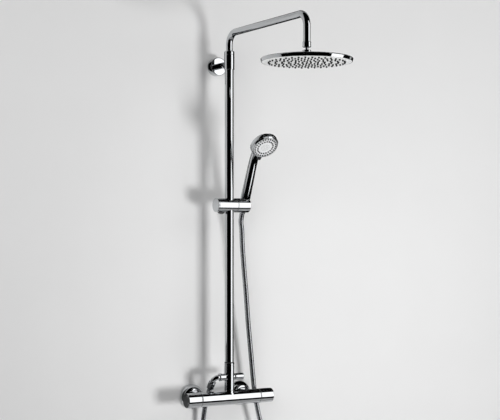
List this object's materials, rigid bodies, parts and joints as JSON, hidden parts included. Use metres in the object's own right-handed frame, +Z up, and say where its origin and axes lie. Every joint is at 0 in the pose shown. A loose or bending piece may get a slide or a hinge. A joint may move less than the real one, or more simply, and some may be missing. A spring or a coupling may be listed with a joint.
{
  "type": "shower system",
  "caption": "Wall mounted shower column: bar valve with end handles, riser rail, swivelling arm with a round rain head, and a hand shower on a sliding holder with a hose.",
  "frame": {"origin": "on the wall, half way between the two water inlets", "axes": "+Z up along the riser, +Y into the wall, +X along the bar valve, to the right for someone who faces the wall"},
  "size_m": [0.2964, 0.6175, 1.4069],
  "materials": {
    "chrome": "polished chrome plate on brass",
    "chromed_plastic": "chrome plated plastic",
    "brass": "machined",
    "steel": "zinc plated",
    "seal": "soft rubber",
    "nozzle": "soft silicone",
    "plastic": "moulded",
    "spray_face": "chrome plated plastic, spray plate",
    "tab": "dark moulded plastic",
    "hose": "wound metal hose, chrome plated"
  },
  "bodies": {
    "valve": {"valve_body": "chrome", "flow_cartridge": "brass", "temperature_cartridge": "brass", "left_union": "brass", "right_union": "brass", "left_union_nut": "chrome", "right_union_nut": "chrome", "left_rosette": "chrome", "right_rosette": "chrome", "inlet_filters": "seal", "diverter_body": "chrome", "diverter_seat": "plastic", "elbow_collar": "chrome", "hose_elbow": "chrome", "hose_nut": "chrome", "riser_tube": "chrome", "riser_seal": "seal", "bracket_sleeve": "chrome", "bracket_stem": "chrome", "bracket_grub_screw": "steel", "bracket_rosette": "chrome", "bracket_wall_bolt": "steel", "arm_gland": "chrome", "shower_hose": "hose"},
    "flow_handle": {"flow_spindle": "brass", "flow_handle": "chrome", "flow_handle_screw": "steel", "flow_handle_cap": "chromed_plastic"},
    "temperature_handle": {"temperature_spindle": "brass", "temperature_handle": "chrome", "temperature_handle_screw": "steel", "temperature_handle_cap": "chromed_plastic"},
    "diverter_knob": {"diverter_spindle": "brass", "diverter_knob": "chrome"},
    "arm": {"shower_arm": "chrome", "arm_seals": "seal", "ball_stud": "chrome"},
    "ball_seat": {"ball_seat": "plastic"},
    "rain_head": {"ball_retainer": "chrome", "head_shell": "chromed_plastic", "head_face": "spray_face", "head_nozzle_mat": "nozzle"},
    "slide_bush": {"slide_bush": "plastic"},
    "slider": {"slider_body": "chromed_plastic", "slider_cap": "chromed_plastic", "clamp_shoe": "plastic", "clamp_spring": "steel", "holder_screw": "steel", "holder_washer": "plastic"},
    "release_tab": {"slider_tab": "tab"},
    "holder": {"handset_holder": "chromed_plastic"},
    "hose_cone": {"hose_cone": "chrome"},
    "handset": {"handset_shell": "chromed_plastic", "handset_inlet": "brass", "handset_water_tube": "plastic", "handset_face": "spray_face", "handset_nozzle_mat": "nozzle"},
    "selector": {"selector_ring": "chromed_plastic"}
  },
  "joints": [
    {"name": "flow_handle_turn", "type": "hinge", "parent": "valve", "child": "flow_handle", "pos_m": [0, -0.0785, 0], "axis": [1, 0, 0], "range_deg": [0, 90]},
    {"name": "temperature_handle_turn", "type": "hinge", "parent": "valve", "child": "temperature_handle", "pos_m": [0, -0.0785, 0], "axis": [1, 0, 0], "range_deg": [-120, 60]},
    {"name": "diverter_knob_turn", "type": "hinge", "parent": "valve", "child": "diverter_knob", "pos_m": [0, -0.0785, 0.057], "axis": [1, 0, 0], "range_deg": [-90, 90]},
    {"name": "arm_swivel", "type": "hinge", "parent": "valve", "child": "arm", "pos_m": [0, -0.0785, 0.93], "axis": [0, 0, 1], "range_deg": [-60, 60]},
    {"name": "head_spin", "type": "hinge", "parent": "arm", "child": "ball_seat", "pos_m": [0, -0.4655, 0.886], "axis": [0, 0, 1], "continuous": true},
    {"name": "head_tilt", "type": "hinge", "parent": "ball_seat", "child": "rain_head", "pos_m": [0, -0.4655, 0.886], "axis": [1, 0, 0], "range_deg": [-12, 12]},
    {"name": "slider_slide", "type": "slide", "parent": "valve", "child": "slide_bush", "axis": [0, 0, 1], "range_m": [-0.395, 0.165], "deforming": ["shower_hose"]},
    {"name": "slider_swivel", "type": "hinge", "parent": "slide_bush", "child": "slider", "pos_m": [0, -0.0785, 0.523], "axis": [0, 0, 1], "range_deg": [-60, 60]},
    {"name": "release_tab_press", "type": "slide", "parent": "slider", "child": "release_tab", "axis": [0, 0, 1], "range_m": [0, 0.002], "stiffness_N_per_m": 2000, "springref_m": -0.001},
    {"name": "holder_tilt", "type": "hinge", "parent": "slider", "child": "holder", "pos_m": [0.02, -0.0785, 0.523], "axis": [1, 0, 0], "range_deg": [-20, 20]},
    {"name": "handset_lift", "type": "slide", "parent": "holder", "child": "hose_cone", "axis": [0, -0.4067, 0.9135], "range_m": [0, 0.06]},
    {"name": "handset_spin", "type": "hinge", "parent": "hose_cone", "child": "handset", "pos_m": [0.046, -0.0785, 0.523], "axis": [0, -0.4067, 0.9135], "range_deg": [-15, 150]},
    {"name": "selector_turn", "type": "hinge", "parent": "handset", "child": "selector", "pos_m": [0.04443, -0.19499, 0.67408], "axis": [-0.0321, -0.6815, -0.7311], "range_deg": [-25, 25]}
  ]
}
